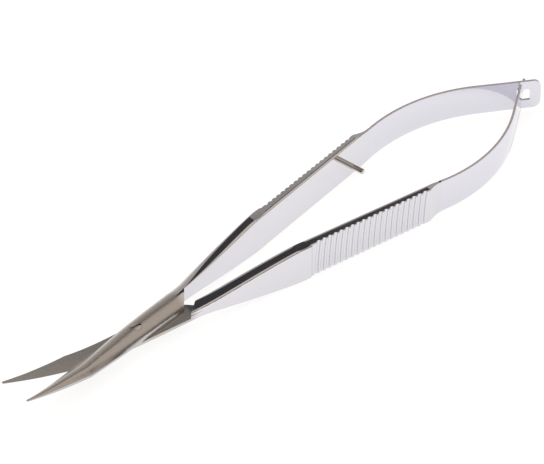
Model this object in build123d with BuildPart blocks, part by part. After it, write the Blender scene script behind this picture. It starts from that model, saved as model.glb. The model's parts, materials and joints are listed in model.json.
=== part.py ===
from build123d import *

import os
from math import atan2, cos, hypot, radians, sin, sqrt, tan

# Spring-handled thread snips: two stainless levers cross at a slotted pivot screw. Each lever is
# a half-round blade, a waisted shank, a ribbed flat grip and a thin leaf spring. The two leaves
# hook together at the tail, a tongue through a slot, and a pin on one grip stops the closing.
#
# Frame: +X from the blades to the tail, +Y towards the upper lever's handle, +Z up along the
# pivot screw. The origin is under the middle of the snips, on the surface they rest on.
# The sizes below are in millimetres. Plan positions (x, y) are counted from the pivot, with y
# positive on the side of a lever's own handle.

# --- Overall sizes ---------------------------------------------------------------------------
OVERALL_LENGTH = 120.0
BLADE_REACH = 26.2            # pivot to blade tips
GRIP_HEIGHT = 7.2             # tallest part of the handle, the snips rest on its lower edge
LEAF_HEIGHT = 6.66            # at the grip
LEAF_TAIL_HEIGHT = 6.0        # where the leaves hook together
LEAF_THICKNESS = 0.45

# --- Blades ----------------------------------------------------------------------------------
BLADE_CORNER_X = -12.6        # where the spine is ground off towards the tip
BLADE_CURVE_START = 3.0       # radius about the pivot where the blades begin to curve up
BLADE_CURVE_RADIUS = 78.0
TIP_EDGE_Y = -2.75            # cutting edge and spine at the tip
TIP_SPINE_Y = -3.25
CORNER_EDGE_Y = 0.55          # cutting edge and spine where the taper starts
CORNER_SPINE_Y = -3.45
CORNER_CROWN = 1.35           # half-round height there
TIP_CROWN = 0.32
TIP_WALL = 0.2                # ground wall along the spine, at the tip and at the corner
CORNER_WALL = 0.5
BLADE_CROWN_SHARE = 0.34      # crown line, from the spine towards the cutting edge
ROUND = 0.5523                # control length of a quarter ellipse
EDGE_RUN = 0.35               # control point of a blade's sharp edge: inwards and up
EDGE_RISE = 0.30
PARTING_GAP = 0.04            # between the two ground faces
SKIRT = 0.5                   # stock below the ground face before it is cut
CROWN_FLAT = 0.03             # where the half-round starts to turn into the flat shank

# --- Joint body (half-round) and shank ---------------------------------------------------------
PIVOT_HALF_WIDTH = 2.15
PIVOT_CROWN = 1.8
END_FACE_X = 9.4              # inner corner of the half-round body's oblique end
END_FACE_Y = -1.5
SHOULDER_X = 12.06            # where that end meets the shank's inner face
SHOULDER_INNER_Y = 1.42
SHOULDER_OUTER_Y = 3.70
SHOULDER_CROWN = 1.9
SHOULDER_STEP = 1.25          # depth of the shank on the recessed side
CLOSING_ANGLE = 12.6          # from open to stop pin on the other grip
SHOULDER_CLEARANCE = 0.12     # between a body's end and the other lever's shoulder, closed
SHANK_CORNER = 0.35           # round along the shank's outer edges
INNER_BEVEL_WIDTH = 0.45      # wide shallow bevel along its inner edges
INNER_BEVEL_HEIGHT = 0.18
# shares of the way from the shoulder to the grip where the shank's sections stand
SHANK_SHARES = (0.229, 0.485, 0.740, 0.879)

# --- Grip ------------------------------------------------------------------------------------
GRIP_LENGTH = 24.8
GRIP_INNER_Y = 8.45           # inner and outer faces at the end of the grip
GRIP_OUTER_Y = 10.12
GRIP_INSET = 0.28             # ribbed face, set in from the shank's outer face
GRIP_INSET_RAMP = 0.35        # length of the step down to it
GRIP_RUNOUT = 6.0             # the bevels run on past the grip until they leave the metal
RIB_COUNT = 20
RIB_PITCH = 1.165
RIB_GROOVE_RADIUS = 0.38
RIB_GROOVE_DEPTH = 0.36
RIB_FIRST = 1.35              # first groove, past the start of the grip
RIB_BOW_RADIUS = 60.0         # the grooves bow towards the blades
RIB_LEAN = 4.0                # and their upper ends lean towards the tail
RIB_END_BEVEL = 0.15

# --- Leaf springs ------------------------------------------------------------------------------
LEAF_SPAN = 31.5              # leaf root to tail, along the long axis
LEAF_SEAT_LENGTH = 3.9        # from the ribbed face to the leaf root
LEAF_ROOT_ANGLE = 10.5        # the leaf leaves the grip flaring outwards
SLOTTED_BEND_RADIUS = 30.0
SLOTTED_END_ANGLE = 32.5      # inclination to the long axis at the tail
TONGUE_BEND_RADIUS = 27.5
TONGUE_END_ANGLE = 36.0
FLEX_CLEARANCE = 0.02         # between the rounded leaf root and its seat on the grip
TAB_LENGTH = 5.0              # even height at the leaves' ends
TAB_CORNER_RADIUS = 1.5
SLOT_LENGTH = 2.4
SLOT_HEIGHT = 2.4
SLOT_LEAD = 0.85              # tongue's middle to the slot's front end
TONGUE_HEIGHT = 1.9
TONGUE_REACH = 3.3            # beyond the slotted leaf
TONGUE_SETBACK = 0.90         # shoulders, short of the slotted leaf

# --- Pivot screw and stop pin -------------------------------------------------------------------
SCREW_HEAD_RADIUS = 1.0
SCREW_HEAD_SEAT = 0.75        # above the parting face, the head is ground flush with the lever
SCREW_SHANK_RADIUS = 0.65
SCREW_CLEARANCE = 0.04
SCREW_END = 1.6               # below the parting face
SCREW_SLOT_WIDTH = 0.3
SCREW_SLOT_DEPTH = 0.45
SCREW_SLOT_ANGLE = -12.0
STOP_PIN_SETBACK = 2.9        # from the end of the ribbed face
STOP_PIN_RADIUS = 0.5
STOP_PIN_SEAT = 1.0           # length held in the grip
STOP_PIN_BEVEL = 0.1
STOP_PIN_GAP = 0.05           # left between pin and the other grip when closed

# --- Values worked out from the sizes above ---------------------------------------------------
PIVOT_X = BLADE_REACH - OVERALL_LENGTH / 2
TAIL_X = OVERALL_LENGTH - BLADE_REACH
LEAF_ROOT_X = TAIL_X - LEAF_SPAN
GRIP_END = LEAF_ROOT_X - LEAF_SEAT_LENGTH
GRIP_START = GRIP_END - GRIP_LENGTH
STOP_PIN_X = GRIP_END - STOP_PIN_SETBACK
PARTING_Z = GRIP_HEIGHT / 2
PIVOT_POINT = (PIVOT_X, 0, PARTING_Z)
UPPER = Plane(origin=PIVOT_POINT, x_dir=(1, 0, 0), z_dir=(0, 0, 1))
LOWER = Plane(origin=PIVOT_POINT, x_dir=(1, 0, 0), z_dir=(0, 0, -1))
REACH = 2 * OVERALL_LENGTH    # larger than anything that is cut

INNER_SLOPE = (GRIP_INNER_Y - SHOULDER_INNER_Y) / (GRIP_END - SHOULDER_X)
OUTER_SLOPE = (GRIP_OUTER_Y - SHOULDER_OUTER_Y) / (GRIP_END - SHOULDER_X)


def inner_y(x):
    """Inner face of the shank and grip."""
    return SHOULDER_INNER_Y + INNER_SLOPE * (x - SHOULDER_X)


def outer_y(x):
    """Outer face of the shank."""
    return SHOULDER_OUTER_Y + OUTER_SLOPE * (x - SHOULDER_X)


def blade_rise(x):
    """Height of the curved parting face at a distance x from the pivot."""
    beyond = max(abs(x) - BLADE_CURVE_START, 0)
    return BLADE_CURVE_RADIUS - sqrt(BLADE_CURVE_RADIUS**2 - beyond**2)


def turned(point, angle):
    """A plan point turned about the pivot."""
    c, s = cos(radians(angle)), sin(radians(angle))
    return point[0] * c - point[1] * s, point[0] * s + point[1] * c


def crosswise(base, x):
    """Plane across a lever at x: its own x is the lever's y, its own y the lever's z."""
    return Plane(origin=base.from_local_coords((x, 0, 0)), x_dir=base.y_dir, z_dir=base.x_dir)


def round_side(edge, top, roundness):
    """Control points from an edge up to the crown: a quarter ellipse, or a gentle sharp edge."""
    dy, dz = edge[0] - top[0], top[1] - edge[1]
    inwards = (1 - roundness) * EDGE_RUN * dy
    up = (roundness * ROUND + (1 - roundness) * EDGE_RISE) * dz
    return [edge, (edge[0] - inwards, edge[1] + up), (top[0] + ROUND * dy, top[1]), top]


def round_outline(y_inner, y_top, y_outer, crown, roundness, wall, lift):
    """Half-round section, crown at y_top, wall on its inner side, skirt below the parting face."""
    top = (y_top, lift + crown)
    with BuildLine() as outline:
        Line((y_outer, lift - SKIRT), (y_outer, lift))
        Bezier(*round_side((y_outer, lift), top, roundness))
        Bezier(*reversed(round_side((y_inner, lift + wall), top, roundness)))
        Polyline((y_inner, lift + wall), (y_inner, lift - SKIRT), (y_outer, lift - SKIRT))
    return outline.line


def bevelled_outline(y_inner, y_outer, height, outer_round, inner_round):
    """Flat-topped section whose two top corners are rounded by (width, height)."""
    (ow, oh), (iw, ih) = outer_round, inner_round
    skirt = PARTING_GAP
    with BuildLine() as outline:
        Line((y_outer, -skirt), (y_outer, height - oh))
        Bezier(*round_side((y_outer, height - oh), (y_outer - ow, height), 1))
        Line((y_outer - ow, height), (y_inner + iw, height))
        Bezier(*reversed(round_side((y_inner, height - ih), (y_inner + iw, height), 1)))
        Polyline((y_inner, height - ih), (y_inner, -skirt), (y_outer, -skirt))
    return outline.line


def make_body(base, rise):
    """Half-round joint body from the blade's corner to the shoulder, and the tapered blade."""
    crown_line = SHOULDER_INNER_Y + 2 * CROWN_FLAT
    corner_top = CORNER_SPINE_Y + BLADE_CROWN_SHARE * (CORNER_EDGE_Y - CORNER_SPINE_Y)
    body_stations = [
        # x, inner or spine y, y of the crown, outer or cutting edge y, crown, roundness, wall
        (BLADE_CORNER_X, CORNER_SPINE_Y, corner_top, CORNER_EDGE_Y, CORNER_CROWN, 0.0, CORNER_WALL),
        (BLADE_CORNER_X / 2, -2.68, -0.90, 1.60, (CORNER_CROWN + PIVOT_CROWN) / 2, 0.5, 0.45),
        (0.0, -PIVOT_HALF_WIDTH, 0.10, PIVOT_HALF_WIDTH + 0.1, PIVOT_CROWN, 1.0, 0.38),
        (SHOULDER_X / 2, -1.70, 0.75, 2.98, (PIVOT_CROWN + SHOULDER_CROWN) / 2, 1.0, 0.25),
        (SHOULDER_X, -1.35, crown_line, SHOULDER_OUTER_Y, SHOULDER_CROWN, 1.0, 0.15),
    ]
    # share of the way to the tip, crown height, wall
    blade_stations = [
        (0.35, 0.80 * CORNER_CROWN, 0.58),
        (0.70, 0.46 * CORNER_CROWN, 0.42),
        (1.0, TIP_CROWN, TIP_WALL),
    ]

    with BuildPart() as body:
        for x, *section in body_stations:
            with BuildSketch(crosswise(base, x)):
                add(round_outline(*section, rise * blade_rise(min(x, 0))))
                make_face()
        loft()
    with BuildPart() as blade:
        with BuildSketch(crosswise(base, BLADE_CORNER_X)):
            add(round_outline(*body_stations[0][1:], rise * blade_rise(BLADE_CORNER_X)))
            make_face()
        for share, crown, wall in blade_stations:
            x = BLADE_CORNER_X + share * (-BLADE_REACH - BLADE_CORNER_X)
            edge = CORNER_EDGE_Y + share * (TIP_EDGE_Y - CORNER_EDGE_Y)
            spine = CORNER_SPINE_Y + share * (TIP_SPINE_Y - CORNER_SPINE_Y)
            top = spine + BLADE_CROWN_SHARE * (edge - spine)
            with BuildSketch(crosswise(base, x)):
                add(round_outline(spine, top, edge, crown, 0.0, wall, rise * blade_rise(x)))
                make_face()
        loft()
    with BuildPart() as joined:
        add(body.part)
        add(blade.part)
        # the oblique end face, and all that lies inwards of it
        with BuildSketch(base.offset(-REACH / 2)):
            with BuildLine():
                along = (SHOULDER_X - END_FACE_X, SHOULDER_INNER_Y - END_FACE_Y)
                start = (END_FACE_X - 3 * along[0], END_FACE_Y - 3 * along[1])
                Polyline(start, (SHOULDER_X, SHOULDER_INNER_Y), (REACH, SHOULDER_INNER_Y),
                         (REACH, start[1]), close=True)
            make_face()
        extrude(amount=REACH, mode=Mode.SUBTRACT)
    return joined.part


def make_recess(base, rise):
    """What the other lever's body needs: all below the parting face, short of the shoulder."""
    gap = PARTING_GAP / 2
    far = BLADE_REACH + 4
    depth = 3 * GRIP_HEIGHT
    shoulder_from = turned((END_FACE_X, -END_FACE_Y), CLOSING_ANGLE)
    shoulder_to = turned((SHOULDER_X, -SHOULDER_INNER_Y), CLOSING_ANGLE)
    length = hypot(shoulder_to[0] - shoulder_from[0], shoulder_to[1] - shoulder_from[1])
    ux = (shoulder_to[0] - shoulder_from[0]) / length
    uy = (shoulder_to[1] - shoulder_from[1]) / length
    near = (shoulder_from[0] - uy * SHOULDER_CLEARANCE, shoulder_from[1] + ux * SHOULDER_CLEARANCE)
    with BuildPart() as below:
        side = Plane(origin=base.origin, x_dir=-base.x_dir, z_dir=base.y_dir)
        up = side.y_dir.dot(base.z_dir)
        with BuildSketch(side):
            with BuildLine():
                top = up * (rise * blade_rise(far) + gap)
                middle = (BLADE_CURVE_START + far) / 2
                Polyline((0, -up * depth), (far, -up * depth), (far, top))
                ThreePointArc((far, top), (middle, up * (rise * blade_rise(middle) + gap)),
                              (BLADE_CURVE_START, up * gap))
                Polyline((BLADE_CURVE_START, up * gap), (0, up * gap), (0, -up * depth))
            make_face()
        revolve(axis=Axis(base.origin, (0, 0, 1)), revolution_arc=360)
        with BuildSketch(base.offset(-depth)):
            with Locations((REACH / 2, 0)):
                Rectangle(REACH, REACH)
        extrude(amount=REACH, mode=Mode.SUBTRACT)
        with BuildSketch(base.offset(-depth)):
            with Locations((far / 2, 0)):
                Rectangle(far, 2 * far)
        extrude(amount=depth + gap)
        # keep the pivot's side of the shoulder line
        with BuildSketch(base.offset(-2 * depth)):
            with BuildLine():
                Polyline((near[0] - far * ux, near[1] - far * uy),
                         (near[0] + far * ux, near[1] + far * uy),
                         (-3 * far, near[1] + far * uy), (-3 * far, near[1] - far * uy), close=True)
            make_face()
        extrude(amount=4 * depth, mode=Mode.INTERSECT)
    return below.part


def make_shank(base, upper_side):
    """One half of the shank and grip: above the parting face, or below it."""
    full = GRIP_HEIGHT / 2
    outer = (SHANK_CORNER, SHANK_CORNER)
    inner = (INNER_BEVEL_WIDTH, INNER_BEVEL_HEIGHT)
    first, second, third, fourth = (
        SHOULDER_X + share * (GRIP_START - SHOULDER_X) for share in SHANK_SHARES
    )
    if upper_side:
        quarter = (SHOULDER_OUTER_Y - SHOULDER_INNER_Y - 2 * CROWN_FLAT, SHOULDER_CROWN)
        stations = [
            # x, height, outer corner, inner corner
            (SHOULDER_X, SHOULDER_CROWN, quarter, (CROWN_FLAT, CROWN_FLAT)),
            (first, 2.15, (1.35, 1.15), (0.15, 0.10)),
            (second, 2.70, (0.70, 0.65), (0.30, 0.16)),
            (third, 3.32, (0.42, 0.42), inner),
            (fourth, full, outer, inner),
            (GRIP_START, full, outer, inner),
        ]
    else:
        stations = [
            (SHOULDER_X - 4.5, 0.95, (0.25, 0.25), (0.20, 0.20)),
            (SHOULDER_X, SHOULDER_STEP, (0.30, 0.30), (0.25, 0.25)),
            (first, 1.78, outer, inner),
            (second, 2.60, outer, inner),
            (third, 3.30, outer, inner),
            (fourth, full, outer, inner),
            (GRIP_START, full, outer, inner),
        ]

    def add_sections(rows):
        for x, height, outer_round, inner_round in rows:
            across = crosswise(base, x)
            if not upper_side:
                across = Plane(origin=across.origin, x_dir=across.x_dir, z_dir=-across.z_dir)
            corners = bevelled_outline(inner_y(x), outer_y(x), height, outer_round, inner_round)
            with BuildSketch(across) as section:
                add(corners)
                make_face()
            yield section.sketch

    with BuildPart() as shank:
        loft(sections=list(add_sections(stations)))
    with BuildPart() as grip:
        ends = [(GRIP_START, full, outer, inner), (GRIP_END, full, outer, inner)]
        loft(sections=list(add_sections(ends)), ruled=True)
    with BuildPart() as half:
        add(shank.part)
        add(grip.part)
        with BuildSketch(base.offset(-full)):
            Rectangle(REACH, REACH)
        extrude(amount=2 * full, mode=Mode.INTERSECT)
    return half.part


def leaf_root(base):
    """Where a leaf flexes: its own plane at the root, along the leaf, z up."""
    slant = radians(LEAF_ROOT_ANGLE)
    x = LEAF_ROOT_X - LEAF_THICKNESS / 2 * sin(slant)
    y = inner_y(LEAF_ROOT_X) + LEAF_THICKNESS / 2 * cos(slant)
    return x, y, slant


def make_grip_end(base):
    """The grip's end, hollowed down to the thickness of the leaf."""
    x, y, slant = leaf_root(base)
    back = LEAF_THICKNESS / 2 + FLEX_CLEARANCE
    seat = (x - back * cos(slant), y - back * sin(slant))
    half = LEAF_THICKNESS / 2
    seat_inner = (seat[0] + half * sin(slant), seat[1] - half * cos(slant))
    seat_outer = (seat[0] - half * sin(slant), seat[1] + half * cos(slant))
    grip_outer = (GRIP_END, outer_y(GRIP_END) - GRIP_INSET)
    with BuildPart() as end:
        with BuildSketch(base.offset(-GRIP_HEIGHT)):
            with BuildLine():
                Line((GRIP_END, inner_y(GRIP_END)), seat_inner)
                Line(seat_inner, seat_outer)
                TangentArc(seat_outer, grip_outer, tangent=(-cos(slant), -sin(slant)))
                Line(grip_outer, (GRIP_END, inner_y(GRIP_END)))
            make_face()
        extrude(amount=2 * GRIP_HEIGHT)
        side = Plane(origin=base.origin, x_dir=base.x_dir, z_dir=-base.y_dir)
        with BuildSketch(side.offset(-REACH / 2)):
            with BuildLine():
                grip, leaf = GRIP_HEIGHT / 2, LEAF_HEIGHT / 2
                Polyline((GRIP_END, -grip), (seat[0] - 1, -leaf), (LEAF_ROOT_X + 1, -leaf),
                         (LEAF_ROOT_X + 1, leaf), (seat[0] - 1, leaf), (GRIP_END, grip), close=True)
            make_face()
        extrude(amount=REACH, mode=Mode.INTERSECT)
        # the shank's inner bevel runs on over the taper
        inner = inner_y(GRIP_END)
        along = base.x_dir + base.y_dir * INNER_SLOPE
        for side_up in (1, -1):
            low, outside = side_up * (grip - INNER_BEVEL_HEIGHT), side_up * (grip + 1)
            with BuildSketch(crosswise(base, GRIP_END)):
                with BuildLine():
                    Polyline((inner, low), (inner - 1, low), (inner - 1, outside),
                             (inner + INNER_BEVEL_WIDTH, outside),
                             (inner + INNER_BEVEL_WIDTH, side_up * grip))
                    top = (inner + INNER_BEVEL_WIDTH, side_up * grip)
                    Bezier(*round_side((inner, low), top, 1))
                make_face()
            extrude(amount=GRIP_RUNOUT, dir=along, mode=Mode.SUBTRACT)
    return end.part


def grip_face(base):
    """Plane on the shank's outer face at the start of the grip: x along it, z outwards."""
    slant = atan2(OUTER_SLOPE, 1)
    along = base.x_dir * cos(slant) + base.y_dir * sin(slant)
    out = base.x_dir * -sin(slant) + base.y_dir * cos(slant)
    corner = base.from_local_coords((GRIP_START, outer_y(GRIP_START), 0))
    return Plane(origin=corner, x_dir=along, z_dir=out)


def make_grip_cutter(base):
    """What the ribbed grip loses: the inset of its face, its bevelled edges and the first groove."""
    face = grip_face(base)
    length = (GRIP_END - GRIP_START) * sqrt(1 + OUTER_SLOPE**2)
    full = GRIP_HEIGHT / 2
    outside = GRIP_HEIGHT
    with BuildPart() as cutter:
        profile = Plane(origin=face.origin, x_dir=face.x_dir, z_dir=-face.y_dir)
        with BuildSketch(profile.offset(-GRIP_HEIGHT)):
            with BuildLine():
                Polyline((0, 0), (GRIP_INSET_RAMP, -GRIP_INSET), (length + GRIP_RUNOUT, -GRIP_INSET),
                         (length + GRIP_RUNOUT, outside), (0, outside), close=True)
            make_face()
        extrude(amount=2 * GRIP_HEIGHT)
        for end in (1, -1):
            across = Plane(origin=face.origin, x_dir=face.z_dir, z_dir=face.x_dir)
            with BuildSketch(across):
                with BuildLine():
                    Polyline((-GRIP_INSET - RIB_END_BEVEL, end * full),
                             (-GRIP_INSET, end * (full - RIB_END_BEVEL)),
                             (outside, end * (full - RIB_END_BEVEL)),
                             (outside, end * (full + RIB_END_BEVEL)),
                             (-GRIP_INSET - RIB_END_BEVEL, end * (full + RIB_END_BEVEL)), close=True)
                make_face()
            extrude(amount=length + GRIP_RUNOUT)
    lean = radians(RIB_LEAN)
    bow_centre = face.from_local_coords(
        (
            RIB_FIRST + RIB_BOW_RADIUS * cos(lean),
            -face.y_dir.Z * RIB_BOW_RADIUS * sin(lean),
            RIB_GROOVE_RADIUS - RIB_GROOVE_DEPTH - GRIP_INSET,
        )
    )
    with BuildPart() as groove:
        with Locations(Plane(origin=bow_centre, x_dir=face.x_dir, z_dir=face.z_dir)):
            Torus(major_radius=RIB_BOW_RADIUS, minor_radius=RIB_GROOVE_RADIUS)
    return cutter.part, groove.part


def make_lever(base, rise):
    """A whole lever without its leaf, its bores still to come."""
    cutter, groove = make_grip_cutter(base)
    face = grip_face(base)
    with BuildPart() as lever:
        add(make_body(base, rise))
        add(make_shank(base, True))
        add(make_shank(base, False))
        add(make_grip_end(base))
        add(make_recess(base, rise), mode=Mode.SUBTRACT)
        add(cutter, mode=Mode.SUBTRACT)
        for rib in range(RIB_COUNT):
            shift = face.x_dir * (rib * RIB_PITCH)
            add(groove.moved(Location(shift)), mode=Mode.SUBTRACT)
    return lever.part


def leaf_points(bend_radius, end_angle):
    """Root, arc centre and arc end of a leaf's middle surface, in plan."""
    x, y, slant = leaf_root(UPPER)
    radius = bend_radius + LEAF_THICKNESS / 2
    centre = (x + radius * sin(slant), y - radius * cos(slant))
    end = (centre[0] + radius * sin(radians(end_angle)), centre[1] + radius * cos(radians(end_angle)))
    return (x, y), centre, end


def make_leaf(base, bend_radius, end_angle, straight):
    """A leaf of full height: rounded root, one long bend, straight end."""
    root, centre, end = leaf_points(bend_radius, end_angle)
    half = LEAF_THICKNESS / 2
    radius = bend_radius + half
    start_angle = LEAF_ROOT_ANGLE

    def on_arc(angle, shift):
        reach = radius + shift
        return (centre[0] - reach * sin(radians(angle)), centre[1] + reach * cos(radians(angle)))

    ux, uy = cos(radians(end_angle)), -sin(radians(end_angle))
    inner_end, outer_end = on_arc(-end_angle, -half), on_arc(-end_angle, half)
    middle_angle = (start_angle - end_angle) / 2
    root_tip = (root[0] - half * cos(radians(start_angle)), root[1] - half * sin(radians(start_angle)))
    with BuildPart() as leaf:
        with BuildSketch(base.offset(-LEAF_HEIGHT / 2)):
            with BuildLine():
                ThreePointArc(on_arc(start_angle, -half), root_tip, on_arc(start_angle, half))
                ThreePointArc(on_arc(start_angle, half), on_arc(middle_angle, half), outer_end)
                Polyline(outer_end, (outer_end[0] + straight * ux, outer_end[1] + straight * uy),
                         (inner_end[0] + straight * ux, inner_end[1] + straight * uy), inner_end)
                ThreePointArc(inner_end, on_arc(middle_angle, -half), on_arc(start_angle, -half))
            make_face()
        extrude(amount=LEAF_HEIGHT)
        side = Plane(origin=base.origin, x_dir=base.x_dir, z_dir=-base.y_dir)
        with BuildSketch(side.offset(-REACH / 2)):
            with BuildLine():
                high, low = LEAF_HEIGHT / 2, LEAF_TAIL_HEIGHT / 2
                Polyline((GRIP_END, -high), (LEAF_ROOT_X, -high), (TAIL_X - TAB_LENGTH, -low),
                         (REACH, -low), (REACH, low), (TAIL_X - TAB_LENGTH, low),
                         (LEAF_ROOT_X, high), (GRIP_END, high), close=True)
            make_face()
        extrude(amount=REACH, mode=Mode.INTERSECT)
    flat = Plane(
        origin=base.from_local_coords((*end, 0)),
        x_dir=base.x_dir * ux + base.y_dir * uy,
        z_dir=base.x_dir * -uy + base.y_dir * ux,
    )
    return leaf.part, flat


# --- Where the two leaves cross at the tail -----------------------------------------------------
_, _, SLOTTED_END = leaf_points(SLOTTED_BEND_RADIUS, SLOTTED_END_ANGLE)
_, _, TONGUE_END = leaf_points(TONGUE_BEND_RADIUS, TONGUE_END_ANGLE)
SLOTTED_RUN = (cos(radians(SLOTTED_END_ANGLE)), -sin(radians(SLOTTED_END_ANGLE)))
TONGUE_RUN = (cos(radians(TONGUE_END_ANGLE)), sin(radians(TONGUE_END_ANGLE)))
ACROSS = SLOTTED_RUN[0] * TONGUE_RUN[1] - SLOTTED_RUN[1] * TONGUE_RUN[0]
APART = (TONGUE_END[0] - SLOTTED_END[0], -TONGUE_END[1] - SLOTTED_END[1])
SLOTTED_TO_CROSSING = (APART[0] * TONGUE_RUN[1] - APART[1] * TONGUE_RUN[0]) / ACROSS
TONGUE_TO_CROSSING = (APART[0] * SLOTTED_RUN[1] - APART[1] * SLOTTED_RUN[0]) / ACROSS
SLOTTED_STRAIGHT = (
    TAIL_X - LEAF_THICKNESS / 2 * sin(radians(SLOTTED_END_ANGLE)) - SLOTTED_END[0]
) / cos(radians(SLOTTED_END_ANGLE))
TONGUE_STRAIGHT = TONGUE_TO_CROSSING + TONGUE_REACH


# --- Upper lever --------------------------------------------------------------------------------
upper_stock = make_lever(UPPER, 1)
inner_slant = atan2(INNER_SLOPE, 1)
pin_seat = Plane(
    origin=UPPER.from_local_coords((STOP_PIN_X, inner_y(STOP_PIN_X), 0)),
    x_dir=(cos(inner_slant), sin(inner_slant), 0),
    z_dir=(sin(inner_slant), -cos(inner_slant), 0),
)
with BuildPart() as upper_lever:
    add(upper_stock)
    with BuildSketch(UPPER.offset(SCREW_HEAD_SEAT)):
        Circle(SCREW_HEAD_RADIUS + SCREW_CLEARANCE)
    extrude(amount=GRIP_HEIGHT, mode=Mode.SUBTRACT)
    with BuildSketch(UPPER.offset(-1)):
        Circle(SCREW_SHANK_RADIUS + SCREW_CLEARANCE)
    extrude(amount=GRIP_HEIGHT, mode=Mode.SUBTRACT)
    with BuildSketch(pin_seat.offset(-STOP_PIN_SEAT)):
        Circle(STOP_PIN_RADIUS)
    extrude(amount=STOP_PIN_SEAT + 1, mode=Mode.SUBTRACT)

# --- Lower lever --------------------------------------------------------------------------------
lower_stock = make_lever(LOWER, -1)
with BuildPart() as lower_lever:
    add(lower_stock)
    with BuildSketch(LOWER.offset(-1)):
        Circle(SCREW_SHANK_RADIUS)
    extrude(amount=GRIP_HEIGHT, mode=Mode.SUBTRACT)

# --- Slotted leaf spring, on the upper lever ------------------------------------------------------
slotted_stock, slotted_flat = make_leaf(
    UPPER, SLOTTED_BEND_RADIUS, SLOTTED_END_ANGLE, SLOTTED_STRAIGHT
)
with BuildPart() as slotted_leaf_spring:
    add(slotted_stock)
    ends = slotted_leaf_spring.edges().filter_by(Axis((0, 0, 0), slotted_flat.z_dir))
    fillet(ends.sort_by(Axis.X)[-2:], TAB_CORNER_RADIUS)
    with BuildSketch(slotted_flat.offset(-1)):
        with Locations((SLOTTED_TO_CROSSING - SLOT_LEAD + SLOT_LENGTH / 2, 0)):
            Rectangle(SLOT_LENGTH, SLOT_HEIGHT)
    extrude(amount=2, mode=Mode.SUBTRACT)

# --- Tongued leaf spring, on the lower lever ------------------------------------------------------
tongue_stock, tongue_flat = make_leaf(
    LOWER, TONGUE_BEND_RADIUS, TONGUE_END_ANGLE, TONGUE_STRAIGHT
)
with BuildPart() as tongue_leaf_spring:
    add(tongue_stock)
    tongue_length = TONGUE_REACH + TONGUE_SETBACK
    cut_height = (LEAF_HEIGHT - TONGUE_HEIGHT) / 2
    with BuildSketch(tongue_flat.offset(-1)):
        with Locations((TONGUE_STRAIGHT - tongue_length / 2 + 1, 0)):
            with GridLocations(0, TONGUE_HEIGHT + 2 * cut_height, 1, 2):
                Rectangle(tongue_length + 2, 2 * cut_height)
    extrude(amount=2, mode=Mode.SUBTRACT)

# --- Pivot screw ----------------------------------------------------------------------------------
with BuildPart() as screw_head:
    with BuildSketch(UPPER.offset(SCREW_HEAD_SEAT + SCREW_CLEARANCE)):
        Circle(SCREW_HEAD_RADIUS)
    extrude(amount=GRIP_HEIGHT)
    add(upper_stock, mode=Mode.INTERSECT)
    with BuildSketch(UPPER.offset(PIVOT_CROWN + 1)):
        Rectangle(3 * SCREW_HEAD_RADIUS, SCREW_SLOT_WIDTH, rotation=SCREW_SLOT_ANGLE)
    extrude(amount=-1 - SCREW_SLOT_DEPTH, mode=Mode.SUBTRACT)
with BuildPart() as pivot_screw:
    with BuildSketch(UPPER.offset(-SCREW_END)):
        Circle(SCREW_SHANK_RADIUS)
    extrude(amount=SCREW_END + SCREW_HEAD_SEAT + 2 * SCREW_CLEARANCE)
    add(screw_head.part)

# --- Stop pin -------------------------------------------------------------------------------------
other_start = turned((SHOULDER_X, -SHOULDER_INNER_Y), CLOSING_ANGLE)
other_slope = tan(radians(CLOSING_ANGLE) - inner_slant)
other_rise = other_start[1] + other_slope * (STOP_PIN_X - other_start[0])
gap_at_pin = inner_y(STOP_PIN_X) - other_rise
STOP_PIN_LENGTH = gap_at_pin / (cos(inner_slant) + other_slope * sin(inner_slant)) - STOP_PIN_GAP
with BuildPart() as stop_pin:
    with BuildSketch(pin_seat.offset(-STOP_PIN_SEAT)):
        Circle(STOP_PIN_RADIUS)
    extrude(amount=STOP_PIN_SEAT + STOP_PIN_LENGTH)
    chamfer(stop_pin.faces().sort_by(Axis.Y)[0].edges(), STOP_PIN_BEVEL)

# --- Files ------------------------------------------------------------------------------------------
os.makedirs("parts", exist_ok=True)
pieces = {
    "lower_lever": lower_lever,
    "upper_lever": upper_lever,
    "tongue_leaf_spring": tongue_leaf_spring,
    "slotted_leaf_spring": slotted_leaf_spring,
    "pivot_screw": pivot_screw,
    "stop_pin": stop_pin,
}
for name, piece in pieces.items():
    piece.part.label = name
    export_step(piece.part, f"parts/{name}.step")
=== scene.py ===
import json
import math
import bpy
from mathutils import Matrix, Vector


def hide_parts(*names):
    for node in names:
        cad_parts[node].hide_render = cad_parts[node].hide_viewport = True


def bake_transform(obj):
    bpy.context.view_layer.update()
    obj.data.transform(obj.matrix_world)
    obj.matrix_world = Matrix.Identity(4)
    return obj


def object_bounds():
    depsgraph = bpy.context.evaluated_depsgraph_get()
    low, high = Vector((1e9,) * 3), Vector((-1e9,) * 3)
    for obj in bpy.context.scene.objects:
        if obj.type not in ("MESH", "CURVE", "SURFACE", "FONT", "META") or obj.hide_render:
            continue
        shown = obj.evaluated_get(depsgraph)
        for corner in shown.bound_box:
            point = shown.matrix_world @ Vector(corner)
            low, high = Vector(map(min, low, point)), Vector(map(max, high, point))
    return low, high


bl_info = {
    "name": "Thread Snips",
    "version": (1, 0, 0),
    "blender": (4, 5, 0),
    "location": "3D View > Sidebar > Thread Snips",
    "description": "Spring-handled thread snips with steel finishes, on a plain studio floor",
    "category": "Object",
}

import bmesh
import bpy
from bpy.props import FloatProperty, FloatVectorProperty, PointerProperty
from mathutils import Matrix, Vector

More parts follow.
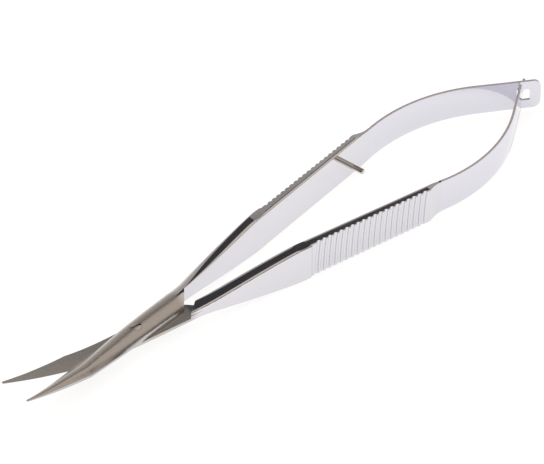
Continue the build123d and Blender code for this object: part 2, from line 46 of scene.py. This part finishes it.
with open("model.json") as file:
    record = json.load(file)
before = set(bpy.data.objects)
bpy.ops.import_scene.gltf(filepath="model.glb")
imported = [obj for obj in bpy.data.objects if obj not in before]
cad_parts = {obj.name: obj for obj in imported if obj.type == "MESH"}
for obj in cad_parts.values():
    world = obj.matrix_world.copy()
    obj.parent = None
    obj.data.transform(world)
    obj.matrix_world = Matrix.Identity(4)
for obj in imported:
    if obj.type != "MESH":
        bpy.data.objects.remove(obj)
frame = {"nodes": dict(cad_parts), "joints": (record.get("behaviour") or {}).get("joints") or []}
CAD_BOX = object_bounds()
MM = 0.001

# Noise values lie mostly between these two.
NOISE_LOW, NOISE_HIGH = 0.3, 0.7
POLISH_END, GROUND_START = 11.0, 9.0    # mm past the pivot, from ground joint to buffed shank
EDGE_ROUGHNESS = 0.55
LAP_SHARES = (1.0, 0.66, 0.33)
CUTTER_HALF_WIDTH = 2.0                 # mm, wider than any leaf is thick
CUTTER_MARGIN = 1.0                     # mm, how far a cutter reaches past the metal
CORNER_STEPS = 12
SMOOTH_BELOW = 35.0                     # degrees
WELD_DISTANCE = 0.0005                  # mm

# Stage, in metres and watts: floor, panels mirrored in the steel, soft boxes and camera.
FLOOR_HALF = 4.0
FLOOR_PAINT = (0.22, 0.22, 0.22, 1.0)
FLOOR_GLOW = 0.92
HORIZON = "#5a5654"
RAMP_FROM, RAMP_TO = 0.12, 0.42
RAMP_DIRECTION = (0.0, 0.3, 1.0)
CARD_HEIGHT = 0.25
CARDS = (
    # name, near left corner, far right corner, radiance
    ("dark_card", (-0.5, 0.125), (0.7, 0.2085), (0.045, 0.045, 0.047)),
    ("grey_card", (-0.5, 0.2085), (0.9, 0.65), (0.45, 0.42, 0.4)),
)
SOFT_BOX_SIZE = 1.2
SOFT_BOXES = (
    # name, place, watts
    ("soft_box_left", (-0.7, -0.4, 1.1), 9.0),
    ("soft_box_right", (0.7, 0.5, 1.2), 8.0),
)
CAMERA_PLACE = (-0.417725, -0.449257, 0.545204)
CAMERA_TURN, CAMERA_RISE = math.radians(42.703), math.radians(41.317)
CAMERA_SENSOR, CAMERA_LENS = 36.0, 320.19
CAMERA_CLIP = 0.05

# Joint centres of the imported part: the pivot screw's axis and the root of each leaf.
JOINTS = {joint["name"]: Vector(joint["pos_m"]) for joint in frame["joints"]}
PIVOT = JOINTS["blade_pivot"]
SLOTTED_ROOT = JOINTS["slotted_leaf_flex"]
TONGUE_ROOT = JOINTS["tongue_leaf_flex"]


def mm(value):
    """A size in millimetres, as metres."""
    return value * MM


# --- Colours and nodes -------------------------------------------------------------------------
def linear(hex_colour, alpha=1.0):
    """An sRGB hex colour as linear RGBA."""
    channels = [int(hex_colour[i:i + 2], 16) / 255 for i in (1, 3, 5)]
    return tuple(
        c / 12.92 if c <= 0.04045 else ((c + 0.055) / 1.055) ** 2.4 for c in channels
    ) + (alpha,)


def add_node(tree, kind, links=(), inputs=(), **settings):
    """Adds a node, sets its properties and inputs, and links (input, node, output) into it."""
    node = tree.nodes.new(kind)
    for name, value in settings.items():
        setattr(node, name, value)
    for key, value in inputs:
        node.inputs[key].default_value = value
    for key, source, output in links:
        tree.links.new(source.outputs[output], node.inputs[key])
    return node


def new_material(name):
    """An empty node material and its tree."""
    material = bpy.data.materials.new(name)
    material.use_nodes = True
    material.node_tree.nodes.clear()
    return material, material.node_tree


def close_material(tree, shader):
    """Links the finished shader to the material's output."""
    add_node(tree, "ShaderNodeOutputMaterial", links=[("Surface", shader, 0)])


def stretched_noise(tree, coordinates, scale_mm, detail=2.0):
    """Noise whose grains have these real lengths in mm along x, y and z."""
    mapping = add_node(
        tree, "ShaderNodeMapping", links=[("Vector", coordinates, "Object")],
        inputs=[("Scale", tuple(1 / mm(s) for s in scale_mm))],
    )
    return add_node(
        tree, "ShaderNodeTexNoise", links=[("Vector", mapping, 0)],
        inputs=[("Scale", 1.0), ("Detail", detail), ("Roughness", 0.6)],
    )


def varied(tree, noise, low, high):
    """A value that the noise moves between low and high."""
    return add_node(
        tree, "ShaderNodeMapRange", links=[("Value", noise, "Fac")],
        inputs=[("From Min", NOISE_LOW), ("From Max", NOISE_HIGH), ("To Min", low), ("To Max", high)],
    )


# --- Steel finishes ----------------------------------------------------------------------------
def lever_steel(colours):
    """Stainless steel, 400 series: the handles are buffed to a mirror, and the blades and the
    joint are belt-ground lengthwise, which leaves fine bright lines along them."""
    material, tree = new_material("buffed_and_ground_stainless_steel")
    coordinates = add_node(tree, "ShaderNodeTexCoord")
    place = add_node(tree, "ShaderNodeSeparateXYZ", links=[("Vector", coordinates, "Object")])
    ground = add_node(
        tree, "ShaderNodeMapRange", links=[("Value", place, "X")],
        inputs=[("From Min", PIVOT.x + mm(POLISH_END)), ("From Max", PIVOT.x + mm(GROUND_START))],
        interpolation_type="SMOOTHSTEP",
    )
    # Belt grit 320 leaves lines about 0.05 mm apart: drawn at 0.12 mm, so that they show.
    lines = stretched_noise(tree, coordinates, (9.0, 0.12, 0.12))
    clouds = stretched_noise(tree, coordinates, (6.0, 3.0, 3.0), detail=3.0)
    polished = varied(tree, clouds, 0.05, 0.11)
    satin = varied(tree, lines, 0.25, 0.36)
    roughness = add_node(
        tree, "ShaderNodeMix", links=[(0, ground, 0), (2, polished, 0), (3, satin, 0)],
    )
    depth = add_node(
        tree, "ShaderNodeMath", links=[(0, lines, "Fac"), (1, ground, 0)], operation="MULTIPLY",
    )
    bump = add_node(
        tree, "ShaderNodeBump", links=[("Height", depth, 0)],
        inputs=[("Strength", 0.12), ("Distance", mm(0.006))],
    )
    colour = add_node(
        tree, "ShaderNodeMix", links=[(0, ground, 0)], data_type="RGBA",
        inputs=[(6, tuple(colours.lever) + (1.0,)), (7, tuple(colours.ground) + (1.0,))],
    )
    shader = add_node(
        tree, "ShaderNodeBsdfPrincipled", inputs=[("Metallic", 1.0)],
        links=[("Base Color", colour, 2), ("Roughness", roughness, 0), ("Normal", bump, 0)],
    )
    close_material(tree, shader)
    return material


def leaf_steel(colours):
    """Spring-tempered stainless strip: rolled bright, then buffed with the handle."""
    material, tree = new_material("buffed_spring_steel")
    coordinates = add_node(tree, "ShaderNodeTexCoord")
    clouds = stretched_noise(tree, coordinates, (7.0, 7.0, 2.0), detail=3.0)
    roughness = varied(tree, clouds, 0.05, 0.12)
    # The strip's long edges are sheared and tumbled, so they stay satin.
    facing = add_node(tree, "ShaderNodeSeparateXYZ", links=[("Vector", coordinates, "Normal")])
    upwards = add_node(
        tree, "ShaderNodeMath", links=[(0, facing, "Z")], operation="ABSOLUTE",
    )
    edge = add_node(
        tree, "ShaderNodeMapRange", links=[("Value", upwards, 0)],
        inputs=[("From Min", 0.3), ("From Max", 0.8)], interpolation_type="SMOOTHSTEP",
    )
    finish = add_node(
        tree, "ShaderNodeMix", links=[(0, edge, 0), (2, roughness, 0)],
        inputs=[(3, EDGE_ROUGHNESS)],
    )
    shader = add_node(
        tree, "ShaderNodeBsdfPrincipled", links=[("Roughness", finish, 0)],
        inputs=[("Base Color", tuple(colours.leaf) + (1.0,)), ("Metallic", 1.0)],
    )
    close_material(tree, shader)
    return material


def screw_steel(colours):
    """Free-cutting stainless, turned: the face keeps the lathe's fine rings."""
    material, tree = new_material("turned_stainless_steel")
    coordinates = add_node(tree, "ShaderNodeTexCoord")
    centred = add_node(
        tree, "ShaderNodeVectorMath", links=[(0, coordinates, "Object")],
        inputs=[(1, (PIVOT.x, PIVOT.y, 0.0))], operation="SUBTRACT",
    )
    flat = add_node(
        tree, "ShaderNodeVectorMath", links=[(0, centred, 0)],
        inputs=[(1, (1.0, 1.0, 0.0))], operation="MULTIPLY",
    )
    radius = add_node(tree, "ShaderNodeVectorMath", links=[(0, flat, 0)], operation="LENGTH")
    # Tool feed about 0.06 mm a turn: drawn at 0.15 mm, so that the rings show.
    rings = add_node(
        tree, "ShaderNodeMath", links=[(0, radius, "Value")], operation="MULTIPLY",
        inputs=[(1, math.tau / mm(0.15))],
    )
    wave = add_node(tree, "ShaderNodeMath", links=[(0, rings, 0)], operation="SINE")
    bump = add_node(
        tree, "ShaderNodeBump", links=[("Height", wave, 0)],
        inputs=[("Strength", 0.3), ("Distance", mm(0.004))],
    )
    grain = stretched_noise(tree, coordinates, (0.4, 0.4, 0.4))
    roughness = varied(tree, grain, 0.18, 0.3)
    shader = add_node(
        tree, "ShaderNodeBsdfPrincipled",
        links=[("Roughness", roughness, 0), ("Normal", bump, 0)],
        inputs=[("Base Color", tuple(colours.screw) + (1.0,)), ("Metallic", 1.0)],
    )
    close_material(tree, shader)
    return material


def pin_steel(colours):
    """Drawn stainless wire: fine scratches along the pin."""
    material, tree = new_material("drawn_stainless_wire")
    coordinates = add_node(tree, "ShaderNodeTexCoord")
    grain = stretched_noise(tree, coordinates, (0.08, 2.0, 0.08))
    roughness = varied(tree, grain, 0.1, 0.22)
    shader = add_node(
        tree, "ShaderNodeBsdfPrincipled", links=[("Roughness", roughness, 0)],
        inputs=[("Base Color", tuple(colours.pin) + (1.0,)), ("Metallic", 1.0)],
    )
    close_material(tree, shader)
    return material


# --- Leaf springs ------------------------------------------------------------------------------
def leaf_line(root, side, bend_radius, end_angle, straight, sizes):
    """Centre line of a leaf in plan, from inside the grip's end to the tail."""
    start = sizes.root_angle
    radius = bend_radius + sizes.leaf_thickness / 2
    centre = Vector((root.x + radius * math.sin(start), root.y - side * radius * math.cos(start)))
    lead = sizes.handle_angle
    points = []
    for share in LAP_SHARES:
        back = sizes.root_lap * share
        points.append((root.x - back * math.cos(lead), root.y - side * back * math.sin(lead)))
    steps = round(radius * (start + end_angle) / sizes.leaf_step)
    for step in range(steps + 1):
        angle = -start + (start + end_angle) * step / steps
        points.append((centre.x + radius * math.sin(angle),
                       centre.y + side * radius * math.cos(angle)))
    last = points[-1]
    runs = round(straight / sizes.leaf_step)
    for step in range(1, runs + 1):
        along = straight * step / runs
        points.append((last[0] + along * math.cos(end_angle),
                       last[1] - side * along * math.sin(end_angle)))
    return [Vector((x, y, root.z)) for x, y in points]


def strip_tree(name, material):
    """Geometry nodes that draw a flat strip with rounded edges along a centre line, and bring
    its height down between two places along x."""
    tree = bpy.data.node_groups.new(name, "GeometryNodeTree")
    tree.interface.new_socket("Geometry", in_out="INPUT", socket_type="NodeSocketGeometry")
    labels = ("Height", "Tail Height", "Thickness", "Edge Radius", "Middle", "Taper Start",
              "Taper End")
    for label in labels:
        tree.interface.new_socket(label, in_out="INPUT", socket_type="NodeSocketFloat")
    tree.interface.new_socket("Geometry", in_out="OUTPUT", socket_type="NodeSocketGeometry")
    given = add_node(tree, "NodeGroupInput")
    path = add_node(tree, "GeometryNodeMeshToCurve", links=[("Mesh", given, "Geometry")])
    upright = add_node(
        tree, "GeometryNodeSetCurveNormal", links=[("Curve", path, 0)], mode="Z_UP",
    )
    section = add_node(
        tree, "GeometryNodeCurvePrimitiveQuadrilateral", mode="RECTANGLE",
        links=[("Width", given, "Thickness"), ("Height", given, "Height")],
    )
    rounded = add_node(
        tree, "GeometryNodeFilletCurve", mode="POLY",
        links=[("Curve", section, 0), ("Radius", given, "Edge Radius")],
        inputs=[("Count", 3)],
    )
    swept = add_node(
        tree, "GeometryNodeCurveToMesh",
        links=[("Curve", upright, 0), ("Profile Curve", rounded, 0)],
        inputs=[("Fill Caps", True)],
    )
    place = add_node(tree, "GeometryNodeInputPosition")
    parts = add_node(tree, "ShaderNodeSeparateXYZ", links=[("Vector", place, 0)])
    narrowest = add_node(
        tree, "ShaderNodeMath", links=[(0, given, "Tail Height"), (1, given, "Height")],
        operation="DIVIDE",
    )
    share = add_node(
        tree, "ShaderNodeMapRange", inputs=[("To Min", 1.0)],
        links=[("Value", parts, "X"), ("From Min", given, "Taper Start"),
               ("From Max", given, "Taper End"), ("To Max", narrowest, 0)],
    )
    above = add_node(
        tree, "ShaderNodeMath", links=[(0, parts, "Z"), (1, given, "Middle")],
        operation="SUBTRACT",
    )
    level = add_node(
        tree, "ShaderNodeMath", links=[(0, above, 0), (1, share, 0), (2, given, "Middle")],
        operation="MULTIPLY_ADD",
    )
    moved = add_node(
        tree, "ShaderNodeCombineXYZ", links=[("X", parts, "X"), ("Y", parts, "Y"), ("Z", level, 0)],
    )
    tapered = add_node(
        tree, "GeometryNodeSetPosition", links=[("Geometry", swept, 0), ("Position", moved, 0)],
    )
    real = add_node(tree, "GeometryNodeRealizeInstances", links=[("Geometry", tapered, 0)])
    painted = add_node(
        tree, "GeometryNodeSetMaterial", links=[("Geometry", real, 0)],
        inputs=[("Material", material)],
    )
    add_node(tree, "NodeGroupOutput", links=[("Geometry", painted, 0)])
    return tree


def set_input(modifier, label, value):
    """Sets a geometry nodes input by its socket's identifier."""
    for item in modifier.node_group.interface.items_tree:
        if item.item_type == "SOCKET" and item.in_out == "INPUT" and item.name == label:
            modifier[item.identifier] = value
            return
    raise RuntimeError(f"the strip has no input named {label}")


def prism(name, outline, turn):
    """A closed cutter: an outline in its own x and z, thick along its own y."""
    half = mm(CUTTER_HALF_WIDTH)
    mesh = bmesh.new()
    rings = [[mesh.verts.new(turn @ Vector((x, y, z))) for x, z in outline] for y in (-half, half)]
    mesh.faces.new(rings[0])
    mesh.faces.new(list(reversed(rings[1])))
    count = len(outline)
    for i in range(count):
        j = (i + 1) % count
        mesh.faces.new((rings[0][j], rings[0][i], rings[1][i], rings[1][j]))
    bmesh.ops.recalc_face_normals(mesh, faces=mesh.faces)
    data = bpy.data.meshes.new(name)
    mesh.to_mesh(data)
    mesh.free()
    cutter = bpy.data.objects.new(name, data)
    bpy.context.collection.objects.link(cutter)
    return cutter


def strip_object(name, line, tree, sizes, cutters):
    """Draws the strip along the line, takes the cutters out of it, and keeps a plain mesh."""
    wire = bpy.data.meshes.new(name + "_line")
    wire.from_pydata([tuple(p) for p in line], [(i, i + 1) for i in range(len(line) - 1)], [])
    blank = bpy.data.objects.new(name + "_blank", wire)
    bpy.context.collection.objects.link(blank)
    modifier = blank.modifiers.new("strip", "NODES")
    modifier.node_group = tree
    set_input(modifier, "Height", sizes.leaf_height)
    set_input(modifier, "Tail Height", sizes.tail_height)
    set_input(modifier, "Middle", line[0].z)
    set_input(modifier, "Taper Start", SLOTTED_ROOT.x)
    set_input(modifier, "Taper End", CAD_BOX[1].x - sizes.tab_length)
    set_input(modifier, "Thickness", sizes.leaf_thickness)
    set_input(modifier, "Edge Radius", sizes.leaf_edge_radius)
    for cutter in cutters:
        cut = blank.modifiers.new("cut", "BOOLEAN")
        cut.operation = "DIFFERENCE"
        cut.solver = "EXACT"
        cut.object = cutter
    evaluated = blank.evaluated_get(bpy.context.evaluated_depsgraph_get())
    data = bpy.data.meshes.new_from_object(evaluated)
    data.name = name
    for used in [blank, *cutters]:
        bpy.data.objects.remove(used)
    piece = bpy.data.objects.new(name, data)
    bpy.context.collection.objects.link(piece)
    mesh = bmesh.new()
    mesh.from_mesh(data)
    bmesh.ops.remove_doubles(mesh, verts=mesh.verts, dist=mm(WELD_DISTANCE))
    bmesh.ops.recalc_face_normals(mesh, faces=mesh.faces)
    mesh.to_mesh(data)
    mesh.free()
    data.polygons.foreach_set("use_smooth", [True] * len(data.polygons))
    data.set_sharp_from_angle(angle=math.radians(SMOOTH_BELOW))
    return piece


def tail_frame(end, heading, run):
    """Places a flat outline on a leaf's straight end: x along it from its start, z up."""
    along = Vector((math.cos(heading), math.sin(heading), 0))
    return Matrix.Translation(end - along * run) @ Matrix.Rotation(heading, 4, "Z")


def corner_cutter(name, place, reach, height, radius, up):
    """What a rounded corner of the tab loses."""
    top = up * height / 2
    margin = mm(CUTTER_MARGIN)
    arc = []
    for step in range(CORNER_STEPS + 1):
        angle = math.radians(90 * step / CORNER_STEPS)
        arc.append((reach - radius + radius * math.sin(angle),
                    top - up * radius * (1 - math.cos(angle))))
    outline = [(reach - radius, top + up * margin), *arc, (reach + margin, arc[-1][1]),
               (reach + margin, top + up * margin)]
    return prism(name, outline, place)


def box_cutter(name, place, low, high):
    """A rectangular cutter between two corners on the leaf's flat end."""
    outline = [(low[0], low[1]), (high[0], low[1]), (high[0], high[1]), (low[0], high[1])]
    return prism(name, outline, place)


# --- Sizes and colours a user may change -------------------------------------------------------
def length_property(name, description, default_mm):
    """A length that a user may change, given in mm."""
    return FloatProperty(
        name=name, description=description, default=mm(default_mm), min=0.0,
        unit="LENGTH", precision=5,
    )


def angle_property(name, description, default_degrees):
    """An angle that a user may change, given in degrees."""
    return FloatProperty(
        name=name, description=description, default=math.radians(default_degrees),
        subtype="ANGLE",
    )


def colour_property(name, description, default_hex):
    """A colour that a user may change, given in hex."""
    return FloatVectorProperty(
        name=name, description=description, subtype="COLOR", size=3, min=0.0, max=1.0,
        default=linear(default_hex)[:3],
    )


class SnipsSizes(bpy.types.PropertyGroup):
    """Sizes of the two leaf springs."""

    leaf_height: length_property("Leaf height", "Height of a leaf spring", 6.68)
    tail_height: length_property("Tail height", "Height of the leaves where they hook", 6.0)
    tab_length: length_property("Tab length", "Length of even height at the tail", 5.0)
    leaf_thickness: length_property("Leaf thickness", "Thickness of a leaf spring", 0.45)
    leaf_edge_radius: length_property("Leaf edge radius", "Rounding of a leaf's edges", 0.07)
    leaf_step: length_property("Leaf step", "Length of one facet along a leaf", 0.35)
    root_lap: length_property("Root lap", "How far a leaf reaches into the grip's end", 0.8)
    root_angle: angle_property("Root angle", "How a leaf flares from the grip", 10.5)
    handle_angle: angle_property("Handle angle", "Slope of the grip's inner face", 8.63)
    slotted_radius: length_property("Slotted bend", "Inner bend radius, slotted leaf", 30.0)
    slotted_angle: angle_property("Slotted end", "Slope of the slotted leaf's end", 32.5)
    slotted_run: length_property("Slotted run", "Straight end of the slotted leaf", 11.468)
    tongue_radius: length_property("Tongue bend", "Inner bend radius, tongued leaf", 27.5)
    tongue_angle: angle_property("Tongue end", "Slope of the tongued leaf's end", 36.0)
    tongue_run: length_property("Tongue run", "Straight end of the tongued leaf", 12.1126)
    tab_corner: length_property("Tab corner", "Corner radius of the slotted tab", 1.5)
    slot_start: length_property("Slot start", "Slot's near end, past the bend", 7.13)
    slot_size: length_property("Slot size", "Length and height of the slot", 2.4)
    tongue_height: length_property("Tongue height", "Height of the tongue", 1.9)
    tongue_length: length_property("Tongue length", "Length of the tongue", 4.2)


class SnipsColours(bpy.types.PropertyGroup):
    """Colours of the steels and the floor."""

    lever: colour_property("Lever steel", "Reflection of the levers", "#dbdadf")
    ground: colour_property("Ground steel", "Reflection of the ground blades", "#bfbcba")
    leaf: colour_property("Leaf steel", "Reflection of the leaf springs", "#dcdbe3")
    screw: colour_property("Screw steel", "Reflection of the pivot screw", "#c9c6c2")
    pin: colour_property("Pin steel", "Reflection of the stop pin", "#cfcbc6")
    floor: colour_property("Floor", "Matte floor", "#f4f4f4")
    overhead: colour_property("Overhead", "Warm ceiling seen in the steel", "#dacec2")


# --- Operators ---------------------------------------------------------------------------------
class SNIPS_OT_levers(bpy.types.Operator):
    """Give the two levers their buffed and ground steel"""

    bl_idname = "snips.levers"
    bl_label = "Levers"

    def execute(self, context):
        steel = lever_steel(context.scene.snips_colours)
        for node in ("lower_lever", "upper_lever"):
            slots = frame["nodes"][node].material_slots
            if not slots:
                raise RuntimeError(f"{node} has no material slot")
            for slot in slots:
                slot.material = steel
        return {"FINISHED"}


class SNIPS_OT_leaves(bpy.types.Operator):
    """Make the two leaf springs, curved strips that run from the levers' grips to their tails"""

    bl_idname = "snips.leaves"
    bl_label = "Leaf springs"

    def execute(self, context):
        sizes = context.scene.snips_sizes
        steel = leaf_steel(context.scene.snips_colours)
        tree = strip_tree("spring_strip", steel)
        half = sizes.leaf_height / 2
        beyond = mm(CUTTER_MARGIN)

        line = leaf_line(SLOTTED_ROOT, 1, sizes.slotted_radius, sizes.slotted_angle,
                         sizes.slotted_run, sizes)
        reach = sizes.slotted_run
        place = tail_frame(line[-1], -sizes.slotted_angle, reach)
        slot_half = sizes.slot_size / 2
        cutters = [
            corner_cutter("tab_top", place, reach, sizes.tail_height, sizes.tab_corner, 1),
            corner_cutter("tab_bottom", place, reach, sizes.tail_height, sizes.tab_corner, -1),
            box_cutter("slot", place, (sizes.slot_start, -slot_half),
                       (sizes.slot_start + sizes.slot_size, slot_half)),
        ]
        slotted = strip_object("slotted_leaf", line, tree, sizes, cutters)

        line = leaf_line(TONGUE_ROOT, -1, sizes.tongue_radius, sizes.tongue_angle,
                         sizes.tongue_run, sizes)
        reach = sizes.tongue_run
        place = tail_frame(line[-1], sizes.tongue_angle, reach)
        shoulder = reach - sizes.tongue_length
        cutters = [
            box_cutter("tongue_" + end, place, (shoulder, low), (reach + beyond, high))
            for end, low, high in (
                ("top", sizes.tongue_height / 2, half + beyond),
                ("bottom", -half - beyond, -sizes.tongue_height / 2),
            )
        ]
        tongued = strip_object("tongued_leaf", line, tree, sizes, cutters)

        for piece, root, lever, body, node in (
            (slotted, SLOTTED_ROOT, "upper_lever", "slotted_leaf", "slotted_leaf_spring"),
            (tongued, TONGUE_ROOT, "lower_lever", "tongue_leaf", "tongue_leaf_spring"),
        ):
            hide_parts(node)
            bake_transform(piece)
        bpy.data.node_groups.remove(tree)
        return {"FINISHED"}


class SNIPS_OT_hardware(bpy.types.Operator):
    """Give the pivot screw and the stop pin their steels"""

    bl_idname = "snips.hardware"
    bl_label = "Screw and pin"

    def execute(self, context):
        colours = context.scene.snips_colours
        steels = {"pivot_screw": screw_steel(colours), "stop_pin": pin_steel(colours)}
        for node, steel in steels.items():
            for slot in frame["nodes"][node].material_slots:
                slot.material = steel
        return {"FINISHED"}


def card(name, low, high, radiance):
    """A flat panel overhead that only the steel sees, facing down."""
    data = bpy.data.meshes.new(name)
    data.from_pydata(
        [(low[0], low[1], CARD_HEIGHT), (low[0], high[1], CARD_HEIGHT),
         (high[0], high[1], CARD_HEIGHT), (high[0], low[1], CARD_HEIGHT)], [], [(0, 1, 2, 3)],
    )
    material, tree = new_material(name + "_paint")
    glow = add_node(
        tree, "ShaderNodeEmission", inputs=[("Color", radiance + (1.0,)), ("Strength", 1.0)],
    )
    close_material(tree, glow)
    data.materials.append(material)
    panel = bpy.data.objects.new(name, data)
    bpy.context.collection.objects.link(panel)
    panel.visible_camera = False
    panel.visible_diffuse = False
    panel.visible_shadow = False


class SNIPS_OT_stage(bpy.types.Operator):
    """Set up the floor, the studio light and the camera"""

    bl_idname = "snips.stage"
    bl_label = "Stage"

    def execute(self, context):
        colours = context.scene.snips_colours
        self.floor(colours)
        self.surroundings(colours)
        self.lights()
        self.camera(context.scene)
        context.scene.view_settings.view_transform = "Standard"
        return {"FINISHED"}

    @staticmethod
    def floor(colours):
        """A matte white floor that glows, so that it shows almost no shadow."""
        size = FLOOR_HALF
        data = bpy.data.meshes.new("floor")
        data.from_pydata(
            [(-size, -size, 0), (size, -size, 0), (size, size, 0), (-size, size, 0)],
            [], [(0, 1, 2, 3)],
        )
        material, tree = new_material("matte_white_paint")
        paint = add_node(tree, "ShaderNodeBsdfDiffuse", inputs=[("Color", FLOOR_PAINT)])
        glow = add_node(
            tree, "ShaderNodeEmission",
            inputs=[("Color", tuple(colours.floor) + (1.0,)), ("Strength", FLOOR_GLOW)],
        )
        shader = add_node(tree, "ShaderNodeAddShader", links=[(0, paint, 0), (1, glow, 0)])
        close_material(tree, shader)
        data.materials.append(material)
        floor = bpy.data.objects.new("floor", data)
        bpy.context.collection.objects.link(floor)

    @staticmethod
    def surroundings(colours):
        """Warm and bright overhead, dim towards the horizon, white behind the object."""
        world = bpy.data.worlds.new("studio")
        bpy.context.scene.world = world
        world.use_nodes = True
        tree = world.node_tree
        tree.nodes.clear()
        direction = add_node(tree, "ShaderNodeTexCoord")
        height_share = add_node(
            tree, "ShaderNodeVectorMath", links=[(0, direction, "Generated")],
            inputs=[(1, RAMP_DIRECTION)], operation="DOT_PRODUCT",
        )
        ramp = add_node(tree, "ShaderNodeValToRGB", links=[("Fac", height_share, "Value")])
        stops = ramp.color_ramp.elements
        stops[0].position, stops[0].color = RAMP_FROM, linear(HORIZON)
        stops[1].position, stops[1].color = RAMP_TO, tuple(colours.overhead) + (1.0,)
        seen = add_node(
            tree, "ShaderNodeBackground", links=[("Color", ramp, 0)], inputs=[("Strength", 1.0)],
        )
        behind = add_node(
            tree, "ShaderNodeBackground", inputs=[("Color", (1, 1, 1, 1)), ("Strength", 1.0)],
        )
        path = add_node(tree, "ShaderNodeLightPath")
        mix = add_node(
            tree, "ShaderNodeMixShader",
            links=[(0, path, "Is Camera Ray"), (1, seen, 0), (2, behind, 0)],
        )
        add_node(tree, "ShaderNodeOutputWorld", links=[("Surface", mix, 0)])
        for name, low, high, radiance in CARDS:
            card(name, low, high, radiance)

    @staticmethod
    def lights():
        """Large soft boxes that light the floor and stay out of the steel."""
        for name, place, watts in SOFT_BOXES:
            lamp = bpy.data.lights.new(name, "AREA")
            lamp.shape = "SQUARE"
            lamp.size = SOFT_BOX_SIZE
            lamp.energy = watts
            box = bpy.data.objects.new(name, lamp)
            box.location = place
            box.rotation_euler = (-Vector(place)).to_track_quat("-Z", "Y").to_euler()
            box.visible_glossy = False
            bpy.context.collection.objects.link(box)

    @staticmethod
    def camera(scene):
        """A long lens, from the front left and above."""
        lens = bpy.data.cameras.new("camera")
        lens.sensor_width = CAMERA_SENSOR
        lens.lens = CAMERA_LENS
        lens.clip_start = CAMERA_CLIP
        eye = bpy.data.objects.new("camera", lens)
        bpy.context.collection.objects.link(eye)
        turn, rise = CAMERA_TURN, CAMERA_RISE
        right = Vector((math.cos(turn), -math.sin(turn), 0))
        up = Vector((math.sin(turn) * math.sin(rise), math.cos(turn) * math.sin(rise),
                     math.cos(rise)))
        back = right.cross(up)
        axes = Matrix((right, up, back)).transposed().to_4x4()
        eye.matrix_world = Matrix.Translation(CAMERA_PLACE) @ axes
        scene.camera = eye


STEPS = (SNIPS_OT_levers, SNIPS_OT_leaves, SNIPS_OT_hardware, SNIPS_OT_stage)


class SNIPS_PT_panel(bpy.types.Panel):
    """Thread snips"""

    bl_label = "Thread Snips"
    bl_idname = "SNIPS_PT_panel"
    bl_space_type = "VIEW_3D"
    bl_region_type = "UI"
    bl_category = "Thread Snips"

    def draw(self, context):
        for step in STEPS:
            self.layout.operator(step.bl_idname)
        for group in (context.scene.snips_sizes, context.scene.snips_colours):
            box = self.layout.box()
            for name in group.__annotations__:
                box.prop(group, name)


CLASSES = (SnipsSizes, SnipsColours, *STEPS, SNIPS_PT_panel)


def register():
    for cls in CLASSES:
        bpy.utils.register_class(cls)
    bpy.types.Scene.snips_sizes = PointerProperty(type=SnipsSizes)
    bpy.types.Scene.snips_colours = PointerProperty(type=SnipsColours)


def unregister():
    del bpy.types.Scene.snips_colours
    del bpy.types.Scene.snips_sizes
    for cls in reversed(CLASSES):
        bpy.utils.unregister_class(cls)


def main():
    register()
    bpy.ops.snips.levers()
    bpy.ops.snips.leaves()
    bpy.ops.snips.hardware()
    bpy.ops.snips.stage()


if __name__ == "__main__":
    main()
